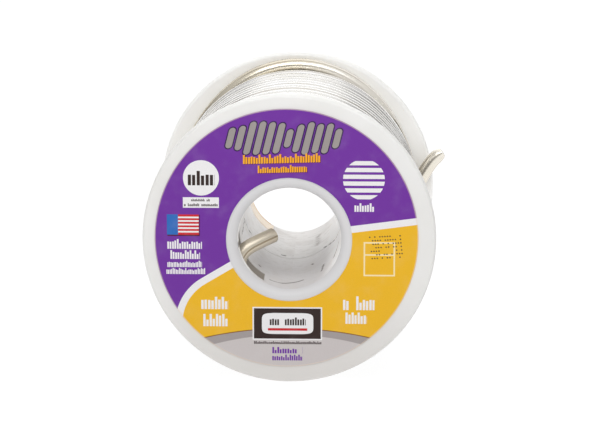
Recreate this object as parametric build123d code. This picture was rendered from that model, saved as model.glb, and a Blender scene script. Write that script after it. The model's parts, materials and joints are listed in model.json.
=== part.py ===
from build123d import *
import os
from math import cos, pi, radians, sin, tan

# Solder wire spool, in millimetres.
# The origin is the centre of the spool, +Y runs along the bore from the front flange to the rear
# one, and +Z is up. A polar place is (angle, radius): angle 0 is straight up and it grows
# anticlockwise as seen from the front, so 90 is at -X and 270 is at +X.

# Spool body: two moulded halves, each a flange with half of the hub.
FLANGE_R = 29.0
FLANGE_T = 3.0
SPOOL_W = 55.4
RIM_FILLET = 0.6
BORE_R = 10.1
HUB_R = 11.3
MOUTH_FILLET = 2.1
SEAM_CHAMFER = 0.3

# Spigot of the front half in the socket of the rear half.
LAP_R = 10.7
LAP_LENGTH = 4.0
LAP_CLEARANCE = 0.03

# Window through the hub wall, where the wire starts. It reaches a little into the flange.
SLOT_FROM, SLOT_TO = 85.0, 150.0
SLOT_W = 5.7
SLOT_IN_FLANGE = 0.8

# Paper labels.
LABEL_T = 0.12
LABEL_R, LABEL_CENTRE = 26.0, (-0.53, 0.25)
LABEL_HOLE_R, LABEL_HOLE_CENTRE = 12.45, (0.0, 0.05)

# Wire and its winding.
WIRE_D = 3.0
WIRE_R = WIRE_D / 2
LAYERS = 5
LAYER_STEP = 2.84
TURNS = 15
WIRE_DENSITY = 7.3e-6  # kg per cubic millimetre

# The last turn lies against the rear flange and bulges over the top.
BULGE = 2.55
BULGE_HALF_ANGLE = 72.0
LAST_TURN_FROM, LAST_TURN_RISE_FROM = -72.0, 205.0
POINTS_PER_TURN = 18

# The free end leaves the last turn at a bend that stands in for the soft wire's bending.
BEND_ANGLE, BEND_R = 262.0, 26.0
BEND_GAP = 0.05
KNUCKLE_REACH = 1.75
FLANGE_CLEARANCE = 0.4

face_y = SPOOL_W / 2
inner_y = face_y - FLANGE_T
layer_1_r = HUB_R + WIRE_R
top_layer_r = layer_1_r + (LAYERS - 1) * LAYER_STEP
last_turn_y = inner_y - WIRE_R - 0.05
turn_pitch = 2 * last_turn_y / TURNS
free_end_y = inner_y - WIRE_R - FLANGE_CLEARANCE


def at(angle, radius, y):
    """The point at a polar place."""
    return Vector(-radius * sin(radians(angle)), y, radius * cos(radians(angle)))


def ring(r_in, r_out, y_from, y_to):
    """A plain ring about the Y axis."""
    with BuildPart() as made:
        with BuildSketch(Plane.XY):
            with Locations(((r_in + r_out) / 2, (y_from + y_to) / 2)):
                Rectangle(r_out - r_in, y_to - y_from)
        revolve(axis=Axis.Y)
    return made.part


def half(sign):
    """A flange with its half of the hub: sign is -1 for the front half and 1 for the rear half."""
    with BuildPart() as made:
        with BuildSketch(Plane.XY) as profile:
            with BuildLine():
                Polyline(
                    (BORE_R + SEAM_CHAMFER, 0),
                    (BORE_R, sign * SEAM_CHAMFER),
                    (BORE_R, sign * face_y),
                    (FLANGE_R, sign * face_y),
                    (FLANGE_R, sign * inner_y),
                    (HUB_R, sign * inner_y),
                    (HUB_R, 0),
                    close=True,
                )
            make_face()
            mouth = profile.vertices().sort_by_distance((BORE_R, sign * face_y))[0]
            fillet(mouth, MOUTH_FILLET)
            rim = [v for v in profile.vertices() if abs(v.X - FLANGE_R) < 0.01]
            fillet(rim, RIM_FILLET)
        revolve(axis=Axis.Y)
    return made.part - slot(sign)


def slot(sign):
    """The window through the hub wall, at the flange."""
    middle = sign * (inner_y + SLOT_IN_FLANGE - SLOT_W / 2)
    with BuildPart() as made:
        with BuildSketch(Plane.XY):
            with Locations(((BORE_R + HUB_R) / 2, middle)):
                Rectangle(2 * (HUB_R - BORE_R), SLOT_W)
        revolve(axis=Axis.Y, revolution_arc=SLOT_TO - SLOT_FROM)
    # The sketch lies at angle 270, and the arc runs from there to lower angles.
    return Rot(0, 270 - SLOT_TO, 0) * made.part


def label(sign):
    """A paper ring on the outer face of a flange, with its hole a little off its centre."""
    face = Plane(origin=(0, sign * face_y, 0), x_dir=(1, 0, 0), z_dir=(0, -1, 0))
    mirrored = -sign
    with BuildPart() as made:
        with BuildSketch(face):
            with Locations((mirrored * LABEL_CENTRE[0], LABEL_CENTRE[1])):
                Circle(LABEL_R)
            with Locations(LABEL_HOLE_CENTRE):
                Circle(LABEL_HOLE_R, mode=Mode.SUBTRACT)
        extrude(amount=-sign * LABEL_T)
    return made.part


def winding():
    """All the turns but the last one as one closed solid, with a ridge for each outer turn."""
    ridges = [last_turn_y - turn_pitch * n for n in range(1, TURNS + 1)]
    shoulder_r = top_layer_r - WIRE_R - 0.1
    body = ring(HUB_R, top_layer_r, -inner_y, ridges[0] + WIRE_R)
    body += ring(HUB_R, shoulder_r, ridges[0] + WIRE_R, inner_y)
    for y in ridges:
        with BuildPart() as turn:
            with BuildSketch(Plane.XY):
                with Locations((top_layer_r, y)):
                    Circle(WIRE_R)
            revolve(axis=Axis.Y)
        body += turn.part
    return body


def bend_radii(route):
    """The radius of each bend of a wire's route, as large as the runs beside it allow."""
    radii = []
    for a, b, c in zip(route, route[1:], route[2:]):
        turn = radians((b - a).get_angle(c - b))
        shorter = min((b - a).length, (c - b).length)
        radii.append(0.45 * shorter / tan(turn / 2))
    return radii


def wire(name, route):
    """A round wire along straight runs joined by arcs."""
    radii = bend_radii(route)
    path = FilletPolyline(*route, radius=radii)
    section = Plane(origin=path @ 0, z_dir=path % 0) * Circle(WIRE_R)
    solid = sweep(section, path=path)
    expected = pi * WIRE_R**2 * path.length
    print(f"{name}: {path.length:.1f} mm long, tightest bend {min(radii):.1f} mm,")
    print(f"    volume {solid.volume:.1f}, section times length {expected:.1f}")
    return solid


def last_turn_route():
    """The last turn's points: over the top with its bulge, round the left and up to the bend."""
    count = round((BEND_ANGLE - LAST_TURN_FROM) / 360 * POINTS_PER_TURN)
    step = (BEND_ANGLE - LAST_TURN_FROM) / count
    route = []
    for n in range(count + 1):
        angle = LAST_TURN_FROM + n * step
        radius, y = top_layer_r, last_turn_y
        if abs(angle) < BULGE_HALF_ANGLE:
            radius += BULGE * (1 + cos(pi * angle / BULGE_HALF_ANGLE)) / 2
        if angle > LAST_TURN_RISE_FROM:
            rise = (angle - LAST_TURN_RISE_FROM) / (BEND_ANGLE - LAST_TURN_RISE_FROM)
            radius += rise**2 * (BEND_R - top_layer_r)
            y += rise**2 * (free_end_y - last_turn_y)
        # The runs pass inside their points, so the points stand out by that much.
        route.append(at(angle, radius / cos(radians(step / 2)), y))
    return route


def free_end_route():
    """The free end's points, from the bend to its cut tip outside the rims."""
    return [
        at(BEND_ANGLE, BEND_R, free_end_y),
        Vector(26.35, free_end_y, -0.3),
        Vector(26.85, free_end_y, 2.8),
        Vector(28.5, free_end_y, 5.9),
        Vector(30.8, free_end_y, 8.0),
    ]


def start_end_route():
    """The start's points, from the first turn in through the slot to the tip in the bore."""
    first_y = -(inner_y - WIRE_R - 0.1)
    return [
        at(158, layer_1_r + 0.2, first_y),
        at(142, layer_1_r + 0.2, first_y),
        at(127, 12.4, first_y),
        Vector(-10.3, first_y + 0.1, -5.0),
        Vector(-9.0, first_y + 0.7, -2.7),
        Vector(-6.6, first_y + 2.0, -1.6),
        Vector(-3.5, first_y + 4.2, -0.7),
    ]


def free_end():
    """The free end with a knuckle, round about the bend's axis, at its root.

    The knuckle's corners are turned off, so that they clear the turn beside them.
    """
    route = free_end_route()
    tail = wire("free_end", route)
    back = (route[0] - route[1]).normalized()
    root = Plane(origin=route[0], z_dir=back) * Cylinder(
        WIRE_R, WIRE_R, align=(Align.CENTER, Align.CENTER, Align.MIN)
    )
    knuckle = Plane(origin=route[0], z_dir=(0, 1, 0)) * Cylinder(WIRE_R, 2 * WIRE_D)
    corners = Pos(*route[0]) * Sphere(KNUCKLE_REACH)
    return tail + (root & knuckle & corners)


def last_turn():
    """The last turn, ending in a flat face just short of the free end's knuckle."""
    route = last_turn_route()
    turn = wire("last_turn", route)
    bend = route[-1]
    direction = (free_end_route()[1] - bend).normalized()
    cut = Plane(origin=bend - direction * (WIRE_R + BEND_GAP), z_dir=direction)
    return turn - cut * Box(
        4 * WIRE_D, 4 * WIRE_D, 2 * WIRE_D, align=(Align.CENTER, Align.CENTER, Align.MIN)
    )


def print_wire_length(*ends):
    """The real wire's length and mass, from its turns and the solids of its last turn and ends."""
    radii = [layer_1_r + n * LAYER_STEP for n in range(LAYERS)]
    section = pi * WIRE_R**2
    length = 2 * pi * sum(radii) * TURNS + sum(end.volume for end in ends) / section
    print(f"wire on the spool: {length / 1000:.2f} m, {length * section * WIRE_DENSITY:.3f} kg")


front_half = half(-1) - ring(LAP_R - LAP_CLEARANCE, HUB_R + 1, -LAP_LENGTH, 1)
rear_half = half(1) + ring(LAP_R, HUB_R, -LAP_LENGTH, 0)

start_end = wire("start_end", start_end_route())

parts = {
    "front_half": front_half,
    "rear_half": rear_half,
    "front_label": label(-1),
    "rear_label": label(1),
    "wound_wire": winding() - start_end,
    "last_turn": last_turn(),
    "free_end": free_end(),
    "start_end": start_end,
}

print_wire_length(parts["last_turn"], parts["free_end"], start_end)
os.makedirs("parts", exist_ok=True)
for name, solid in parts.items():
    export_step(solid, f"parts/{name}.step")
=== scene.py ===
import json
import random
from math import cos, pi, radians, sin, tau

import bpy
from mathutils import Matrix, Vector


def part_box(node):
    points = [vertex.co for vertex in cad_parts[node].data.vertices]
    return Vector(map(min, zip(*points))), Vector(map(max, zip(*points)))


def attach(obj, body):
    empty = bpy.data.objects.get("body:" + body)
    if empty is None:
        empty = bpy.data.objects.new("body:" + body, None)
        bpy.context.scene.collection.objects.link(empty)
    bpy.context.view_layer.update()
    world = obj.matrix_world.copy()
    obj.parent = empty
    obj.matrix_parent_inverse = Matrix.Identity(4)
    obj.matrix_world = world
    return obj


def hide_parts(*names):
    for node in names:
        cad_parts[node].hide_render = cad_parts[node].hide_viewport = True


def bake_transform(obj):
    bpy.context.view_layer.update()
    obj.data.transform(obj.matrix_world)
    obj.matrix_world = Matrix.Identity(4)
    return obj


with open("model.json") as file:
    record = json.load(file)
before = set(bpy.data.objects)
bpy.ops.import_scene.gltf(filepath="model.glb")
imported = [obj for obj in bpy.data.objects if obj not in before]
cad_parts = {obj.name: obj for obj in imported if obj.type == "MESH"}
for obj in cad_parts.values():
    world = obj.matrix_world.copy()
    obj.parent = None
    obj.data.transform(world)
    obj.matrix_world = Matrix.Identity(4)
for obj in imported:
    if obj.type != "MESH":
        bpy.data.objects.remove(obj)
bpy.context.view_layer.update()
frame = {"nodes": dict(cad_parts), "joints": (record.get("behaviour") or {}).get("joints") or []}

# Solder wire spool. Everything is in metres in the CAD's frame: the origin is the spool's centre,
# +Y runs along the bore from the front flange to the rear one, and +Z is up. A polar place is
# (angle, radius): angle 0 is straight up and it grows anticlockwise as seen from the front.
# Materials measure places in millimetres.

MM = 0.001

# Camera, on the side of the front flange.
CAMERA_AZIMUTH, CAMERA_ELEVATION = radians(1.85), radians(12.0)
CAMERA_DISTANCE = 0.6274
CAMERA_LENS = 182.75
AIM_RIGHT, AIM_DOWN = 1.32 * MM, 0.77 * MM

# Wire. Its turns are counted from one angle at the right, and it enters the bore at the slot.
WIRE_R = 1.5 * MM
LAYERS, TURNS = 5, 15
LAYER_STEP = 2.84 * MM
FLANGE_GAP = 0.05 * MM
COUNTED_FROM = -72
SLOT_ANGLE, SLOT_WIRE_R = 127, 12.4 * MM
FIRST_TURN_ANGLE, FIRST_TURN_R = 158, 13.0 * MM
POINTS_PER_TURN = 18
STEP = 360 / POINTS_PER_TURN
TUBE_SIDES = 16

# The wire steps from one turn to the next at the right, and the last step is late.
STEP_FROM, STEP_TO = 205, 288
LAST_STEP_FROM, LAST_STEP_TO = 268, 322

# The last turn bulges over the top, and lifts the two turns before it a little. At the right it
# rises to the bend of the free end, and passes a little inside of the joint's axis. The free end
# starts a stretch before the point nearest the axis.
BULGES = (2.55 * MM, 0.5 * MM, 0.2 * MM)
BULGE_RIGHT, BULGE_LEFT = 74, 60
RISE_FROM, BEND_ANGLE = 205, 262
INSIDE_AXIS = 1.0 * MM
BEND_REACH = 3 * MM

# The wire's two tips, as cutters left them: how far from the end, and the width left there.
START_TIP = ((0.15 * MM, 1.0), (0.0, 0.9))
FREE_TIP = ((1.4 * MM, 1.0), (0.9 * MM, 0.93), (0.45 * MM, 0.82), (0.15 * MM, 0.7), (0.0, 0.55))

# Labels: the hole, and where each sector's print ends, in degrees from straight up.
LABEL_HOLE_R, LABEL_HOLE_UP = 12.45 * MM, 0.05 * MM
LABEL_STEPS = 288
SECTOR_ENDS = (41.25, 148.75, 210, 325)

# Places for the wire's material, in millimetres along it from its tip in the bore. Handling has
# tanned its start and its last turn, which ends in the tail. A fade is where it is 0 and where 1.
START_FADES = (45, 25)
TANNED_FADES = (8688, 8706)
TAIL_FADES = (8775, 8805)
TAIL_FROM = 8800

# Radii and depths for the materials, in millimetres. The outer layer lies beyond a radius, its
# grooves, where shade is painted, just inside its crests, and its last turn behind the others.
# The windows in the hub's wall lie beyond a depth, to the front and to the rear. The bore's
# surface lies inside one limit, and its mouths and the windows' walls between that one and the
# next. The rims lie beyond a radius.
OUTER_LAYER_R = 20.0
GROOVE_FADES = (25.55, 25.2)
GROOVES_FROM, GROOVES_TO = -22.5, 20.0
TURNS_BEFORE, LAST_TURN_BEHIND = 19.0, 21.4
WINDOWS_BEYOND = 15.0
BORE_R = 10.1
BORE_LIMIT, HUB_LIMIT = 10.25, 12.5
RIM_BEYOND = 27.6

# Scratches in the bore's wall, as angle and y of both ends, and half their width.
SCRATCHES = (
    (98, -1.6, 101, -13.6, 0.2),
    (98, -1.6, 120, 0.7, 0.2),
    (92, -22.0, 98, -26.5, 0.5),
    (217, 1.2, 240, -3.6, 0.28),
    (240, -3.6, 250, -2.4, 0.45),
    (253, -13.5, 239, -20.5, 0.35),
    (156, -22.6, 171, -22.6, 0.22),
    (171, -22.6, 195, -20.6, 0.32),
    (165, 1.9, 171, 1.9, 0.35),
    (140, -16.0, 143, -16.6, 0.4),
    (203, -8.3, 205, -9.6, 0.25),
    (221, -15.5, 218, -20.5, 0.32),
)
MM_PER_DEGREE = BORE_R * pi / 180

# The label's printed disc, in millimetres. A thin pale edge is left round it.
PRINT_CENTRE, PRINT_R = (-0.53, 0.25), 25.8

SPOOL, FREE_END = "spool", "free_end"


# ---------------------------------------------------------------- measures from the frame

_, winding_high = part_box("wound_wire")
top_layer_r = winding_high.z - WIRE_R
layer_1_r = top_layer_r - (LAYERS - 1) * LAYER_STEP
last_turn_y = winding_high.y - WIRE_R - FLANGE_GAP
inner_turn_y = last_turn_y - FLANGE_GAP
flange_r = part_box("rear_half")[1].x
bend = Vector(frame["joints"][0]["pos_m"])
leave_r = Vector((bend.x, bend.z)).length - INSIDE_AXIS


def place_camera():
    """A long lens, a little above the bore's axis and a little to its right."""
    azimuth, elevation = CAMERA_AZIMUTH, CAMERA_ELEVATION
    back = Vector((sin(azimuth) * cos(elevation), -cos(azimuth) * cos(elevation), sin(elevation)))
    aim = (-back).to_track_quat("-Z", "Y") @ Vector((AIM_RIGHT, -AIM_DOWN, 0))
    data = bpy.data.cameras.new("camera")
    data.lens = CAMERA_LENS
    camera = bpy.data.objects.new("camera", data)
    camera.location = back * CAMERA_DISTANCE
    camera.rotation_mode = "QUATERNION"
    camera.rotation_quaternion = (aim - camera.location).to_track_quat("-Z", "Y")
    bpy.context.collection.objects.link(camera)
    bpy.context.scene.camera = camera


# ---------------------------------------------------------------- wire


def at(angle, radius, y):
    """The point at a polar place."""
    return Vector((-radius * sin(radians(angle)), y, radius * cos(radians(angle))))


def smooth(t):
    """A step from 0 to 1 that starts and ends level."""
    t = min(max(t, 0), 1)
    return t * t * (3 - 2 * t)


def start_end_route():
    """The start's points, from its tip in the bore out through the slot to the first turn."""
    y = -inner_turn_y
    return [
        Vector((-3.3 * MM, y + 4.2 * MM, -0.9 * MM)),
        Vector((-6.6 * MM, y + 2.0 * MM, -2.0 * MM)),
        Vector((-9.1 * MM, y + 0.7 * MM, -3.2 * MM)),
        Vector((-10.3 * MM, y + 0.1 * MM, -5.2 * MM)),
        at(SLOT_ANGLE, SLOT_WIRE_R, y),
        at(142, FIRST_TURN_R, y),
        at(FIRST_TURN_ANGLE, FIRST_TURN_R, y),
    ]


def free_end_route():
    """The free end's points, from the bend to its cut tip outside the rims."""
    return [
        at(BEND_ANGLE, leave_r, bend.y),
        Vector((25.2 * MM, bend.y, -0.6 * MM)),
        Vector((26.0 * MM, bend.y, 1.9 * MM)),
        Vector((28.0 * MM, bend.y, 5.2 * MM)),
        Vector((29.3 * MM, bend.y, 6.9 * MM)),
        Vector((30.9 * MM, bend.y, 8.1 * MM)),
    ]


def turn_places():
    """The radius and the y of every turn: four layers to and fro, and one with an extra turn."""
    rng = random.Random(7)
    places = []
    for layer in range(LAYERS):
        outer = layer == LAYERS - 1
        count = TURNS + 1 if outer else TURNS
        reach = last_turn_y if outer else inner_turn_y
        direction = -1 if layer % 2 else 1
        for n in range(count):
            y = direction * reach * (2 * n / (count - 1) - 1)
            radius = layer_1_r + layer * LAYER_STEP
            if 0 < n < count - 1:
                y += rng.uniform(-0.03, 0.03) * MM
                radius += rng.uniform(-0.04, 0.03) * MM
            places.append((radius, y))
    return places


def winding_route():
    """The turns' points, from the start's last point to just short of the bend."""
    places = turn_places()
    last = len(places) - 1
    first_angle = FIRST_TURN_ANGLE + STEP
    count = int((last * 360 + BEND_ANGLE - first_angle) / STEP)
    route = []
    for n in range(count):
        turn, angle = divmod(first_angle + n * STEP - COUNTED_FROM, 360)
        turn, angle = int(turn), angle + COUNTED_FROM
        turns_left = last - turn
        if turns_left > 1:
            share = smooth((angle - STEP_FROM) / (STEP_TO - STEP_FROM))
        else:
            # The last two turns share one late step, which runs on past the angle they count from.
            late = angle if turns_left else angle + 360
            share = smooth((late - LAST_STEP_FROM) / (LAST_STEP_TO - LAST_STEP_FROM))
            turn = last - 1
        here, following = places[turn], places[turn + 1]
        radius = here[0] + share * (following[0] - here[0])
        y = here[1] + share * (following[1] - here[1])
        width = BULGE_RIGHT if angle < 0 else BULGE_LEFT
        if turns_left < len(BULGES) and abs(angle) < width:
            radius += BULGES[turns_left] * (1 + cos(pi * angle / width)) / 2
        if turns_left == 0:
            rise = max(angle - RISE_FROM, 0) / (BEND_ANGLE - RISE_FROM)
            radius += rise**2 * (leave_r - top_layer_r)
            y += rise**2 * (bend.y - last_turn_y)
        # The spline passes inside its points, so the points stand out by that much.
        route.append(at(angle, radius / cos(radians(STEP / 2)), y))
    return route


def spline_points(route):
    """Close points on the smooth spline that has these control points."""
    curve = bpy.data.curves.new("route", "CURVE")
    curve.dimensions = "3D"
    curve.resolution_u = 4
    spline = curve.splines.new("NURBS")
    spline.points.add(len(route) - 1)
    for point, place in zip(spline.points, route):
        point.co = (*place, 1)
    spline.order_u = 3
    spline.use_endpoint_u = True
    line = bpy.data.objects.new("route", curve)
    mesh = bpy.data.meshes.new_from_object(line)
    points = [vertex.co.copy() for vertex in mesh.vertices]
    bpy.data.objects.remove(line)
    bpy.data.meshes.remove(mesh)
    bpy.data.curves.remove(curve)
    return points


class Ring:
    """One round section of a wire: its centre, its two directions and how far along it lies."""

    def __init__(self, centre, tangent, across, along):
        self.centre, self.tangent, self.across, self.along = centre, tangent, across, along

    def corners(self, back=0.0, width=1.0):
        """The section's corners, moved back along the wire and squeezed to a share of its width."""
        up = self.tangent.cross(self.across)
        side = self.tangent.cross(Vector((0, 1, 0))).normalized()
        made = []
        for n in range(TUBE_SIDES):
            angle = n / TUBE_SIDES * tau
            corner = WIRE_R * (cos(angle) * self.across + sin(angle) * up)
            corner -= side * corner.dot(side) * (1 - width)
            made.append(self.centre - self.tangent * back + corner)
        return made


def rings_along(points):
    """A ring at each point, turned from the ring before it without twist."""
    rings = []
    along = 0
    across = Vector((0, 1, 0))
    for n, point in enumerate(points):
        before, after = points[max(n - 1, 0)], points[min(n + 1, len(points) - 1)]
        tangent = (after - before).normalized()
        across = (across - tangent * across.dot(tangent)).normalized()
        if n:
            along += (point - points[n - 1]).length
        rings.append(Ring(point, tangent, across, along))
    return rings


def tube(name, rings, start_tip=(), end_tip=()):
    """A round wire as a mesh, with its length and its girth as its UV map, and its nipped tips."""
    first, last = rings[0], rings[-1]
    sections = [(first.along + back, first.corners(-back, width)) for back, width in start_tip]
    sections.reverse()
    # Close to a tip, the tip's own sections replace the rings.
    clear = [tip[0][0] + 0.2 * MM if tip else -1 for tip in (start_tip, end_tip)]
    for ring in rings:
        if first.along + clear[0] < ring.along < last.along - clear[1]:
            sections.append((ring.along, ring.corners()))
    sections += [(last.along - back, last.corners(back, width)) for back, width in end_tip]

    vertices = [corner for _, corners in sections for corner in corners]
    faces, uvs = [], []
    for n in range(len(sections) - 1):
        near, far = sections[n][0] / MM, sections[n + 1][0] / MM
        low, high = n * TUBE_SIDES, (n + 1) * TUBE_SIDES
        for side in range(TUBE_SIDES):
            beside = (side + 1) % TUBE_SIDES
            faces.append((low + side, low + beside, high + beside, high + side))
            here, there = side / TUBE_SIDES, (side + 1) / TUBE_SIDES
            uvs += [(near, here), (near, there), (far, there), (far, here)]
    for (along, corners), row in ((sections[0], 0), (sections[-1], len(sections) - 1)):
        vertices.append(sum(corners, Vector()) / TUBE_SIDES)
        middle, start = len(vertices) - 1, row * TUBE_SIDES
        for side in range(TUBE_SIDES):
            pair = [start + (side + 1) % TUBE_SIDES, start + side]
            faces.append((*(reversed(pair) if row else pair), middle))
            uvs += [(along / MM, 0), (along / MM, 0.1), (along / MM, 0.05)]
    mesh = bpy.data.meshes.new(name)
    mesh.from_pydata(vertices, [], faces)
    layer = mesh.uv_layers.new(name="UVMap")
    layer.data.foreach_set("uv", [value for uv in uvs for value in uv])
    smooth_but_sharp(mesh, 50)
    wire = bpy.data.objects.new(name, mesh)
    bpy.context.collection.objects.link(wire)
    return wire


def smooth_but_sharp(mesh, angle):
    """Smooth shading, except at edges that turn by more than this many degrees."""
    mesh.shade_smooth()
    mesh.set_sharp_from_angle(angle=radians(angle))


def build_wire(material):
    """The one wire: its start in the bore, its turns, and its free end, a piece of its own from the
    bend on.
    """
    route = start_end_route() + winding_route() + free_end_route()
    points = spline_points(route)
    rings = rings_along(points)
    nearest = min(range(len(rings)), key=lambda n: (rings[n].centre - bend).length)
    joined = nearest
    while rings[nearest].along - rings[joined].along < BEND_REACH:
        joined -= 1

    wire = tube("solder_wire", rings[: joined + 1], start_tip=START_TIP)
    tail = tube("free_end_wire", rings[joined:], end_tip=FREE_TIP)
    for piece in (wire, tail):
        piece.data.materials.append(material)
    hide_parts("wound_wire", "last_turn", "start_end")
    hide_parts("free_end")
    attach(wire, SPOOL)
    reach = rings[nearest].tangent * BEND_REACH
    bend - reach
    bend + reach
    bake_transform(tail)
    at(SLOT_ANGLE, SLOT_WIRE_R, -inner_turn_y)


# ---------------------------------------------------------------- numbers in a material


class Number:
    """A value in a material's nodes, which plain arithmetic works on."""

    def __init__(self, socket):
        self.socket = socket

    def __add__(self, other):
        return calculate("ADD", self, other)

    def __sub__(self, other):
        return calculate("SUBTRACT", self, other)

    def __rsub__(self, other):
        return calculate("SUBTRACT", other, self)

    def __mul__(self, other):
        return calculate("MULTIPLY", self, other)

    def __truediv__(self, other):
        return calculate("DIVIDE", self, other)

    __radd__ = __add__
    __rmul__ = __mul__


def give(socket, value):
    """A socket takes a number, a colour or another node's output."""
    if isinstance(value, Number):
        value = value.socket
    if isinstance(value, bpy.types.NodeSocket):
        socket.id_data.links.new(value, socket)
    else:
        socket.default_value = value


def tree_of(*values):
    """The node tree that the values' nodes are in."""
    for value in values:
        if isinstance(value, Number):
            return value.socket.id_data
    raise ValueError("no node among the values")


def calculate(operation, *values):
    """The result of one of Blender's math nodes."""
    node = tree_of(*values).nodes.new("ShaderNodeMath")
    node.operation = operation
    for socket, value in zip(node.inputs, values):
        give(socket, value)
    return Number(node.outputs[0])


def between(value, low, high):
    """1 where the value lies from low to high, and 0 elsewhere."""
    return calculate("COMPARE", value, (low + high) / 2, (high - low) / 2)


def less(value, limit):
    """1 where the value is below the limit, and 0 elsewhere."""
    return calculate("LESS_THAN", value, limit)


def either(a, b):
    """1 where one of them or both are 1."""
    return calculate("MAXIMUM", a, b)


def ramp(value, low, high):
    """From 0 at low to 1 at high, and level beyond them."""
    node = tree_of(value).nodes.new("ShaderNodeMapRange")
    node.interpolation_type = "SMOOTHSTEP"
    give(node.inputs["Value"], value)
    node.inputs["From Min"].default_value = low
    node.inputs["From Max"].default_value = high
    return Number(node.outputs["Result"])


def vector(*parts):
    """A vector of three values."""
    node = tree_of(*parts).nodes.new("ShaderNodeCombineXYZ")
    for socket, part in zip(node.inputs, parts):
        give(socket, part)
    return Number(node.outputs[0])


def parts_of(value):
    """The three parts of a vector or a colour."""
    node = tree_of(value).nodes.new("ShaderNodeSeparateXYZ")
    give(node.inputs[0], value)
    return tuple(Number(socket) for socket in node.outputs)


def polar(place):
    """The angle in degrees, the distance from the axis and the depth of a place."""
    x, y, z = parts_of(place)
    angle = calculate("ARCTAN2", 0 - x, z) * (180 / pi)
    radius = calculate("SQRT", x * x + z * z)
    return angle, radius, y


def noise(place, scale, detail=2, roughness=0.5):
    """Smooth noise around 0.5. The scale is the number of features in one unit of the place."""
    node = tree_of(place).nodes.new("ShaderNodeTexNoise")
    give(node.inputs["Vector"], place)
    node.inputs["Scale"].default_value = scale
    node.inputs["Detail"].default_value = detail
    node.inputs["Roughness"].default_value = roughness
    return Number(node.outputs[0])


def chance(value, output="Value"):
    """A random number from 0 to 1 for each value, or three of them as its colour."""
    node = tree_of(value).nodes.new("ShaderNodeTexWhiteNoise")
    node.noise_dimensions = "1D"
    give(node.inputs["W"], value)
    return Number(node.outputs[output])


def paint(base, share, colour):
    """The base colour with another one over it."""
    node = tree_of(share).nodes.new("ShaderNodeMix")
    node.data_type = "RGBA"
    give(node.inputs["Factor"], share)
    give(node.inputs["A"], base)
    give(node.inputs["B"], colour)
    return node.outputs["Result"]


def screen(red, green, blue):
    """A colour as a screen shows it, from 0 to 255 each, in the units that shaders use."""

    def linear(value):
        value /= 255
        return value / 12.92 if value <= 0.04045 else ((value + 0.055) / 1.055) ** 2.4

    return (linear(red), linear(green), linear(blue), 1)


WARM_WHITE = screen(246, 237, 224)
PURPLE, YELLOW = screen(113, 51, 158), screen(238, 184, 37)
WHITE, INK = screen(238, 236, 237), screen(52, 38, 36)


def new_material(name):
    """A material, its shader, and the place on the surface in millimetres."""
    material = bpy.data.materials.new(name)
    material.use_nodes = True
    nodes, links = material.node_tree.nodes, material.node_tree.links
    shader = nodes["Principled BSDF"]
    coordinates = nodes.new("ShaderNodeTexCoord")
    scaled = nodes.new("ShaderNodeVectorMath")
    scaled.operation = "SCALE"
    scaled.inputs["Scale"].default_value = 1 / MM
    links.new(coordinates.outputs["Object"], scaled.inputs[0])
    return material, shader, Number(scaled.outputs[0])


def bump(shader, height, distance, strength=1.0):
    """Raises the surface by a height in millimetres."""
    node = tree_of(height).nodes.new("ShaderNodeBump")
    node.inputs["Strength"].default_value = strength
    node.inputs["Distance"].default_value = distance * MM
    give(node.inputs["Height"], height)
    give(shader.inputs["Normal"], node.outputs[0])


# ---------------------------------------------------------------- materials


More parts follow.
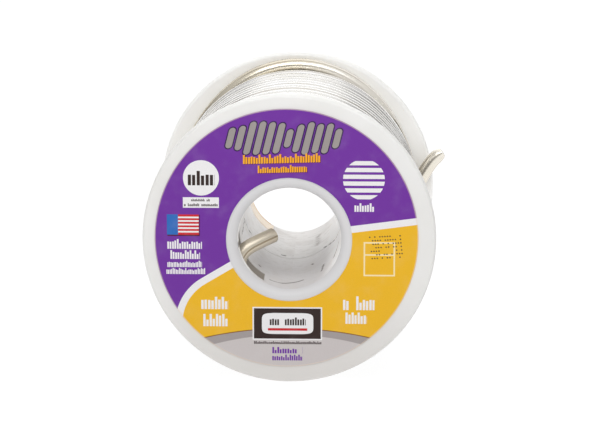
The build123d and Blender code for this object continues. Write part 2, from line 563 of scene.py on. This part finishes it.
def solder_material():
    """Drawn tin wire: bright, creamy at its start and on its last turn, with painted shade towards
    the sides and in the grooves between the turns, painted light on the right of its last turn,
    painted shade and a glow where the front window shows it, painted light and a glow where the
    rear window shows it, and with draw lines and scuffs along its length."""
    material, shader, place = new_material("solder_metal")
    uv = material.node_tree.nodes.new("ShaderNodeUVMap")
    uv.uv_map = "UVMap"
    along, round_it, _ = parts_of(Number(uv.outputs[0]))
    turned = round_it * tau
    across, up = calculate("COSINE", turned), calculate("SINE", turned)
    lines = noise(vector(along * 0.05, across * 7, up * 7), 1.0, detail=3, roughness=0.6)
    scuffs = noise(vector(along * 0.35, across * 1.6, up * 1.6), 1.0, detail=4, roughness=0.65)
    nicks = noise(vector(along * 0.02, across * 3.4, up * 3.4), 1.0, detail=1)
    nicked = ramp(nicks, 0.6, 0.66)
    clouds = noise(place, 0.16, detail=3)
    x, _, _ = parts_of(place)
    _, radius, y = polar(place)

    start = ramp(along, *START_FADES)
    ends = ramp(along, *TANNED_FADES) * 0.65 - ramp(along, *TAIL_FADES) * 0.2
    outer = less(OUTER_LAYER_R, radius)
    # Painted shade: the outer layer's turns, all but the last, are painted darker towards both
    # sides, and more towards the right.
    side = ramp(calculate("ABSOLUTE", x), 3.0, 18.0) * 0.4 + ramp(x, 3.0, 18.0) * 0.22
    # Painted shade: the outer layer is painted darker just inside its crests, in the grooves
    # between its turns.
    groove_shade = ramp(radius, *GROOVE_FADES) * between(y, GROOVES_FROM, GROOVES_TO) * (1 - start)
    # Painted light: the last turn is painted paler, and made less metallic, towards the right.
    pale = outer * less(LAST_TURN_BEHIND, y) * less(along, TAIL_FROM) * ramp(x, -2.0, 10.0)
    # Painted shade and glow: where the front window shows the wire, it is painted darker, made less
    # metallic, and glows faintly.
    front_window_shade_and_glow = less(radius, 14.0) * less(y, -WINDOWS_BEYOND) * (1 - start)
    # Painted light: where the rear window shows the wire, it is painted warm white, made less
    # metallic, and glows.
    rear_window_glow = less(radius, 13.3) * less(WINDOWS_BEYOND, y)

    colour = paint(screen(233, 231, 227), ramp(clouds, 0.35, 0.65), screen(240, 239, 238))
    colour = paint(colour, ends, screen(232, 220, 192))
    colour = paint(colour, start, screen(222, 212, 193))
    colour = paint(colour, groove_shade * 0.6, screen(200, 198, 195))
    colour = paint(colour, side * outer * less(y, TURNS_BEFORE), screen(186, 184, 180))
    colour = paint(colour, pale * 0.8, screen(240, 236, 228))
    colour = paint(colour, front_window_shade_and_glow, screen(170, 161, 148))
    colour = paint(colour, rear_window_glow, WARM_WHITE)
    colour = paint(colour, ramp(scuffs, 0.6, 0.74) * 0.25, screen(190, 181, 165))
    colour = paint(colour, nicked * (0.3 + (ends + start) * 0.5), screen(138, 120, 92))
    give(shader.inputs["Base Color"], colour)
    # The wire is less metallic where light or shade is painted on it, and at its start.
    less_metal = rear_window_glow * 0.8 + front_window_shade_and_glow * 0.7 + pale * 0.6 + start * 0.4
    give(shader.inputs["Metallic"], 0.88 - less_metal)
    rough = 0.2 + start * 0.12 + lines * 0.06
    give(shader.inputs["Roughness"], rough + ramp(scuffs, 0.5, 0.75) * 0.08)
    # Some of the light that comes through the hub's thin wall, where a window shows the wire.
    give(shader.inputs["Emission Color"], WARM_WHITE)
    give(shader.inputs["Emission Strength"], rear_window_glow * 0.2 + front_window_shade_and_glow * 0.08)
    bump(shader, lines * 0.5 + scuffs * 0.2 - nicked * 0.6, 0.03, 0.3)
    return material


def scratch(spot, start_angle, start_y, end_angle, end_y, half_width):
    """1 on a straight scratch in the bore's wall, laid out flat."""
    s, y = spot
    start = Vector((start_angle * MM_PER_DEGREE, start_y))
    run = Vector((end_angle * MM_PER_DEGREE, end_y)) - start
    length, (c, d) = run.length, run.normalized()
    along = calculate("MULTIPLY_ADD", s, c, y * d - (start.x * c + start.y * d))
    beside = calculate("MULTIPLY_ADD", s, -d, y * c - (start.y * c - start.x * d))
    off = ramp(calculate("ABSOLUTE", beside), half_width * 1.5, half_width * 0.3)
    return between(along, 0.0, length) * off


def spool_material():
    """White moulded polystyrene: satin, faintly mottled, with painted shade towards the bottom,
    painted light on the rear half and in the bore, painted shade in the mouths, at the front of the
    bore and in the front window, painted light and a glow in the rear window, speckled at the rims,
    and scratched and scuffed in the bore."""
    material, shader, place = new_material("spool_plastic")
    x, _, z = parts_of(place)
    angle, radius, y = polar(place)
    in_bore = less(radius, BORE_LIMIT)
    in_mouth = less(radius, HUB_LIMIT) * (1 - in_bore)
    # Painted shade and glow: the front window's walls are painted dark, and glow faintly.
    front_window_shade_and_glow = in_mouth * between(y, -25.5, -WINDOWS_BEYOND)
    # Painted light: the rear window's walls are painted warm white, and glow.
    rear_window_glow = in_mouth * between(y, WINDOWS_BEYOND, 26.0)
    # Painted light: the rear half, flange and all, is painted whiter, as if lit through.
    rear_flange_light = between(y, 0.0, 27.0)
    on_rim = less(RIM_BEYOND, radius)
    at_side = ramp(calculate("ABSOLUTE", x), 6.0, 9.8)

    mottle = noise(place, 0.12, detail=3)
    streaks = noise(vector(angle * 0.09, y * 0.9, radius * 0.2), 1.0, detail=4, roughness=0.7)
    grime = noise(vector(angle * 0.03, y * 0.12, 0), 1.0, detail=3)
    specks = ramp(noise(place, 0.4, detail=4, roughness=0.7), 0.69, 0.73) * on_rim
    turned = calculate("MODULO", angle + 360.0, 360.0)
    ragged = noise(vector(angle * 0.12, y * 0.7, 0), 1.0, detail=2) - 0.5
    spot = (turned * MM_PER_DEGREE + ragged * 0.9, y + ragged * 0.9)
    worn = 0.0
    for line in SCRATCHES:
        worn = scratch(spot, *line) + worn
    smudge = ramp(calculate("ABSOLUTE", turned - 208), 6.0, 0.0) * between(y, 7.0, 18.0)
    blurred = smudge * ramp(streaks, 0.35, 0.55)
    # A warm, lighter band painted on the bore's wall in front of the rear window.
    warm_band = between(turned, 100, 146) * ramp(y + ragged * 4, 17.0, 20.0)

    colour = paint(screen(235, 234, 232), ramp(mottle, 0.35, 0.75), screen(232, 231, 228))
    # Painted shade: the plastic is painted greyer towards the bottom.
    colour = paint(colour, ramp(z, -6.0, -28.0) * 0.7, screen(214, 210, 206))
    colour = paint(colour, rear_flange_light, screen(253, 252, 249))
    colour = paint(colour, specks * 0.5, screen(208, 188, 158))
    # Painted shade: the bore's mouths are painted greyer.
    colour = paint(colour, in_mouth, screen(217, 216, 217))
    # Painted light: the bore's wall is painted whiter than the rest of the plastic.
    colour = paint(colour, in_bore, screen(249, 248, 247))
    colour = paint(colour, rear_window_glow, WARM_WHITE)
    colour = paint(colour, front_window_shade_and_glow, screen(150, 140, 128))
    # Painted shade: the bore's top and bottom walls are painted darker towards the front.
    colour = paint(colour, in_bore * (1 - at_side) * ramp(y, 6.0, -14.0), screen(214, 211, 211))
    colour = paint(colour, in_bore * ramp(streaks, 0.48, 0.75) * 0.5, screen(190, 186, 182))
    colour = paint(colour, in_bore * ramp(grime, 0.45, 0.7) * 0.4, screen(206, 201, 196))
    colour = paint(colour, in_bore * warm_band * 0.8, screen(240, 222, 198))
    colour = paint(colour, in_bore * blurred * 0.6, screen(140, 130, 124))
    colour = paint(colour, in_bore * worn * ramp(streaks, 0.2, 0.42) * 0.95, screen(96, 84, 78))
    give(shader.inputs["Base Color"], colour)
    give(shader.inputs["Roughness"], 0.34 + mottle * 0.12 + in_bore * streaks * 0.1)
    # The walls are thin and let a little of the light from behind through.
    in_flange = between(y, 24.0, 25.2) * less(24.0, radius)
    through = in_bore * (at_side * 0.08 + ramp(x, 4.0, 9.0) * 0.08)
    through += rear_window_glow * 0.2 + front_window_shade_and_glow * 0.08
    through += in_flange * (ramp(x, 12.0, 24.0) * ramp(z, 24.0, 2.0) * 0.08 + 0.01)
    shader.inputs["Emission Color"].default_value = (1, 1, 1, 1)
    give(shader.inputs["Emission Strength"], through)
    shader.inputs["Subsurface Weight"].default_value = 0.12
    shader.inputs["Subsurface Radius"].default_value = (1.0, 0.95, 0.9)
    shader.inputs["Subsurface Scale"].default_value = 1.5 * MM
    fine = noise(place, 3.0, detail=2)
    bump(shader, fine * 0.35 + in_bore * (streaks - worn), 0.03, 0.35)
    return material


# A spot on a label is its place across and up from the label's middle, in millimetres.


def rectangle(spot, left, right, low, high):
    """1 inside a rectangle, and 0 elsewhere."""
    return between(spot[0], left, right) * between(spot[1], low, high)


def disc(spot, x, y, radius):
    """1 inside a disc, and 0 elsewhere."""
    across, up = spot[0] - x, spot[1] - y
    return less(across * across + up * up, radius**2)


def strokes(spot, rows, seed):
    """Rows of small strokes that stand for printed words and can't be read.

    A row is (left, right, low, high, pitch of its strokes).
    """
    u, v = spot
    inside = cell = height = 0.0
    for n, (left, right, low, high, pitch) in enumerate(rows):
        here = rectangle(spot, left, right, low, high)
        inside = here + inside
        cell = calculate("MULTIPLY_ADD", here, (u - left) / pitch + 40.0 * n, cell)
        height = calculate("MULTIPLY_ADD", here, (v - low) / (high - low), height)
    index, share = calculate("FLOOR", cell), calculate("FRACT", cell)
    tall, wide, _ = parts_of(chance(index + seed, "Color"))
    stem = between(share, 0.06, 0.42) * less(height, 0.74 + less(0.6, tall) * 0.26)
    other = between(share, 0.54, 0.9) * less(height, 0.5 + wide * 0.4)
    return either(stem, other) * inside * less(0.28, tall + wide)


def paint_sectors(spot):
    """A dark sector over a light one, with white bands between them and a pale segment below."""
    u, v = spot
    # The left band is a straight run that turns down in an arc about this place.
    lean, corner_r = radians(31), 10.65
    out, up = u + 11.9, v + 17.0
    run = calculate("MINIMUM", out * cos(lean) + up * sin(lean), 0.0)
    rise = calculate("MAXIMUM", up * cos(lean) - out * sin(lean), 0.0)
    left = calculate("SQRT", run * run + rise * rise) - corner_r
    right = v - 2.9 - (u - 12.4) * 0.133
    above = left + (right - left) * less(0.0, u)
    colour = paint(PURPLE, less(above, 0.0), YELLOW)
    colour = paint(colour, between(above, -1.38, 0.0), WHITE)
    # The segment below is the top of a wide disc with a brown edge, and has a paler one in it.
    colour = paint(colour, disc(spot, 0, -90.3, 72.45), screen(140, 96, 42))
    colour = paint(colour, disc(spot, 0, -90.4, 72.35), screen(164, 156, 155))
    return paint(colour, disc(spot, 0, -75.45, 56.2), screen(203, 196, 195))


def paint_title(colour, spot):
    """A row of slanted grey capsules with a dark edge, over two rows of orange strokes."""
    grey, edge = screen(156, 149, 146), screen(58, 34, 80)
    orange, shadow = screen(246, 172, 34), screen(100, 30, 60)
    u, v = spot
    # The capsules stand in leaning cells, and each has its own height about the same middle.
    pitch, middle = 1.9, 20.4
    cell = (u - (v - middle) * 0.25 + 1.0) / pitch
    index = calculate("FLOOR", cell)
    across = (calculate("FRACT", cell) - 0.5) * pitch
    half = chance(index + 3.5) * 1.7 + 1.0
    beyond = calculate("MAXIMUM", calculate("ABSOLUTE", v - middle) - half, 0.0)
    off = across * across + beyond * beyond
    row = between(index, -6.5, 5.5)
    for radius, tone in ((0.88, edge), (0.64, grey)):
        colour = paint(colour, row * less(off, radius**2), tone)
    tilted = v - u * 0.03
    rows = ((-9.1, 6.4, 15.5, 17.3, 1.02), (-6.2, 3.5, 13.6, 15.1, 0.9))
    colour = paint(colour, strokes((u - 0.14, tilted + 0.14), rows, seed=3), shadow)
    return paint(colour, strokes((u, tilted), rows, seed=3), orange)


def paint_left_marks(colour, spot):
    """A disc with a plate, a striped swatch, and rows of strokes."""
    _, v = spot
    colour = paint(colour, disc(spot, -17.3, 12.4, 3.54), WHITE)
    colour = paint(colour, rectangle(spot, -20.9, -13.8, 6.4, 8.5), WHITE)
    dark_rows = (
        (-20.0, -14.6, 10.9, 13.8, 1.75),
        (-19.3, -15.6, 7.7, 8.2, 0.34),
        (-20.7, -14.0, 6.7, 7.3, 0.38),
    )
    colour = paint(colour, strokes(spot, dark_rows, seed=31), INK)
    colour = paint(colour, rectangle(spot, -24.0, -17.6, 0.7, 5.0), screen(84, 26, 50))
    colour = paint(colour, rectangle(spot, -24.1, -17.8, 0.95, 5.05), screen(206, 44, 52))
    stripes = less(calculate("FRACT", (v - 1.4) / 0.72), 0.45)
    colour = paint(colour, stripes * rectangle(spot, -24.1, -17.8, 1.3, 4.9), WHITE)
    colour = paint(colour, rectangle(spot, -24.1, -21.9, 0.95, 5.05), screen(48, 108, 186))
    white_rows = (
        (-24.1, -17.2, -1.9, 0.05, 0.95),
        (-23.5, -17.6, -3.95, -2.2, 0.95),
        (-24.1, -17.2, -5.6, -4.3, 0.62),
        (-24.3, -16.6, -7.0, -5.8, 0.62),
        (-17.5, -12.0, -14.1, -11.6, 1.35),
        (-17.1, -12.1, -17.6, -15.1, 1.25),
    )
    return paint(colour, strokes(spot, white_rows, seed=41), WHITE)


def paint_right_marks(colour, spot):
    """A striped disc, an outlined box with a patch of dots, and rows of strokes."""
    u, v = spot
    stripes = less(calculate("FRACT", (v - 8.3) / 1.36), 0.62)
    colour = paint(colour, disc(spot, 14.7, 12.2, 4.1) * stripes, WHITE)
    box = rectangle(spot, 14.7, 20.9, -7.2, -0.3)
    hole = rectangle(spot, 15.0, 20.6, -6.9, -0.6)
    bar = rectangle(spot, 14.7, 20.9, -3.05, -2.75)
    colour = paint(colour, either(box * (1 - hole), bar), screen(247, 228, 178))
    # The patch of dots leans a little, and many of its places are empty.
    column = (u + (v + 1.2) * 0.12) / 0.5
    row = (v - (u - 19) * 0.06) / 0.72
    dots = less(calculate("FRACT", column), 0.5) * less(calculate("FRACT", row), 0.36)
    kept = less(chance(calculate("FLOOR", column) + calculate("FLOOR", row) * 17.3), 0.6)
    patch = rectangle((column, row), 32.0, 44.8, -5.0, 2.0)
    colour = paint(colour, dots * kept * patch, screen(52, 34, 50))
    rows = (
        (12.8, 16.7, 5.8, 7.5, 1.0),
        (10.6, 16.9, -14.1, -11.3, 1.3),
        (11.1, 15.4, -16.9, -14.6, 1.2),
    )
    return paint(colour, strokes(spot, rows, seed=71), WHITE)


def paint_panel(colour, spot):
    """A dark panel with a white plate, over rows of small strokes."""
    u, v = spot
    colour = paint(colour, rectangle(spot, -7.25, 6.55, -20.3, -13.6), WHITE)
    colour = paint(colour, rectangle(spot, -6.98, 6.28, -20.05, -13.87), INK)
    # The plate is a superellipse, which gives it round corners.
    beyond_plate = calculate("POWER", calculate("ABSOLUTE", (u + 0.3) / 5.1), 6.0)
    beyond_plate += calculate("POWER", calculate("ABSOLUTE", (v + 16.95) / 2.15), 6.0)
    colour = paint(colour, less(beyond_plate, 1.0), WHITE)
    dark_rows = ((-3.9, 3.3, -17.3, -15.7, 1.0), (-7.0, 6.4, -21.15, -20.55, 0.42))
    colour = paint(colour, strokes(spot, dark_rows, seed=97), INK)
    colour = paint(colour, rectangle(spot, -4.2, 3.6, -18.4, -17.9), screen(200, 38, 46))
    code_rows = ((-3.4, 2.7, -23.05, -21.75, 1.0), (-3.4, 2.7, -24.5, -23.3, 0.86))
    return paint(colour, strokes(spot, code_rows, seed=107), PURPLE)


def label_material(name, side, paint_marks):
    """Printed paper, with generic shapes for its print. Side is 1 on the front and -1 behind."""
    material, shader, place = new_material(name)
    x, _, z = parts_of(place)
    spot = (x * side, z)
    colour = paint_marks(paint_sectors(spot), spot)
    edge = 1 - disc(spot, *PRINT_CENTRE, PRINT_R)
    colour = paint(colour, edge * 0.4, screen(238, 216, 196))
    tone = noise(place, 0.25, detail=3)
    grain = noise(place, 6.0, detail=2)
    colour = paint(colour, ramp(tone, 0.45, 0.8) * 0.04, WHITE)
    colour = paint(colour, ramp(grain, 0.35, 0.75) * 0.07, (0.0, 0.0, 0.0, 1))
    give(shader.inputs["Base Color"], colour)
    give(shader.inputs["Roughness"], 0.42 + grain * 0.12)
    shader.inputs["Specular IOR Level"].default_value = 0.2
    bump(shader, grain + tone, 0.02, 0.3)
    return material


# ---------------------------------------------------------------- labels


def build_label(node, side):
    """A paper ring on a flange, in four sectors that each have their own print."""
    low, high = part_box(node)
    centre_x, centre_z, radius = (low.x + high.x) / 2, (low.z + high.z) / 2, (high.x - low.x) / 2
    front, back = (low.y, high.y) if side == 1 else (high.y, low.y)
    vertices, faces, prints = [], [], []
    for n in range(LABEL_STEPS):
        angle = 360 * n / LABEL_STEPS
        across, up = -side * sin(radians(angle)), cos(radians(angle))
        inner = (LABEL_HOLE_R * across, LABEL_HOLE_R * up + LABEL_HOLE_UP)
        outer = (centre_x + radius * across, centre_z + radius * up)
        for (x, z), y in ((inner, back), (inner, front), (outer, front), (outer, back)):
            vertices.append((x, y, z))
        here, there = 4 * n, 4 * ((n + 1) % LABEL_STEPS)
        for edge in range(4):
            after = (edge + 1) % 4
            faces.append((here + edge, here + after, there + after, there + edge))
            prints.append(sector_at(angle + 180 / LABEL_STEPS))
    mesh = bpy.data.meshes.new(node + "_paper")
    mesh.from_pydata(vertices, [], faces)
    if side == 1:
        mesh.flip_normals()
    sector_prints = (paint_title, paint_left_marks, paint_panel, paint_right_marks)
    for sector, paint_marks in enumerate(sector_prints):
        mesh.materials.append(label_material(f"{node}_print_{sector + 1}", side, paint_marks))
    mesh.polygons.foreach_set("material_index", prints)
    smooth_but_sharp(mesh, 40)
    label = bpy.data.objects.new(node + "_paper", mesh)
    bpy.context.collection.objects.link(label)
    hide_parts(node)
    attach(label, SPOOL)


def sector_at(angle):
    """Which of the four prints is at this angle: title, left marks, panel or right marks."""
    for sector, end in enumerate(SECTOR_ENDS):
        if angle < end:
            return sector
    return 0


# ---------------------------------------------------------------- surroundings


def build_floor():
    """A plain white floor under the rims, bright enough to have no edge in the picture."""
    reach = 4.0
    mesh = bpy.data.meshes.new("floor")
    square = ((-reach, -reach), (reach, -reach), (reach, reach), (-reach, reach))
    mesh.from_pydata([(x, y, -flange_r) for x, y in square], [], [(0, 1, 2, 3)])
    floor = bpy.data.objects.new("floor", mesh)
    bpy.context.collection.objects.link(floor)
    material, shader, place = new_material("floor_white")
    tone = noise(place, 0.004)
    give(shader.inputs["Base Color"], paint((0.15, 0.15, 0.15, 1), tone, (0.17, 0.17, 0.17, 1)))
    shader.inputs["Roughness"].default_value = 0.9
    shader.inputs["Specular IOR Level"].default_value = 0.0
    shader.inputs["Emission Color"].default_value = (1, 1, 1, 1)
    shader.inputs["Emission Strength"].default_value = 0.92
    mesh.materials.append(material)


def soft_box(name, place, width, height, power):
    """A soft white light that points at the spool."""
    data = bpy.data.lights.new(name, "AREA")
    data.shape = "RECTANGLE"
    data.size, data.size_y = width, height
    data.energy = power
    light = bpy.data.objects.new(name, data)
    light.location = place
    light.rotation_mode = "QUATERNION"
    light.rotation_quaternion = (-Vector(place)).to_track_quat("-Z", "Y")
    bpy.context.collection.objects.link(light)


def build_light():
    """A white studio that is brightest overhead and behind, and darker at the sides, so that the
    wire's turns stand out. The wire mirrors a dark place at the front as a dark line. One soft box
    is close above the front, one farther above, and one behind."""
    world = bpy.data.worlds.new("surroundings")
    world.use_nodes = True
    nodes = world.node_tree.nodes
    direction = Number(nodes.new("ShaderNodeTexCoord").outputs["Generated"])
    x, y, z = parts_of(direction)
    sides = ramp(calculate("ABSOLUTE", x), 0.5, 0.9) * 0.2 + ramp(x, 0.5, 0.9) * 0.2
    dark = ramp(z * 0.25 - y, 0.93, 1.01) * 0.2 + sides
    bright = 0.39 + ramp(z, 0.1, 0.9) * 0.34 + ramp(y, 0.5, 0.95) * 0.4 - dark
    background = nodes["Background"]
    background.inputs["Color"].default_value = (1, 1, 1, 1)
    give(background.inputs["Strength"], bright)
    bpy.context.scene.world = world
    soft_box("soft_box_front", (0.0, -0.14, 0.165), 0.2, 0.12, 0.19)
    soft_box("soft_box_above", (0.0, 0.15, 0.6), 0.6, 0.5, 0.45)
    soft_box("soft_box_behind", (0.05, 0.45, 0.22), 1.2, 0.25, 0.7)
    bpy.context.scene.view_settings.view_transform = "Standard"


def dress_frame():
    """The CAD's own nodes that stay in view get their materials."""
    material = spool_material()
    for node in ("front_half", "rear_half"):
        mesh = frame["nodes"][node].data
        mesh.materials.clear()
        mesh.materials.append(material)


place_camera()
build_wire(solder_material())
dress_frame()
build_label("front_label", 1)
build_label("rear_label", -1)
build_floor()
build_light()
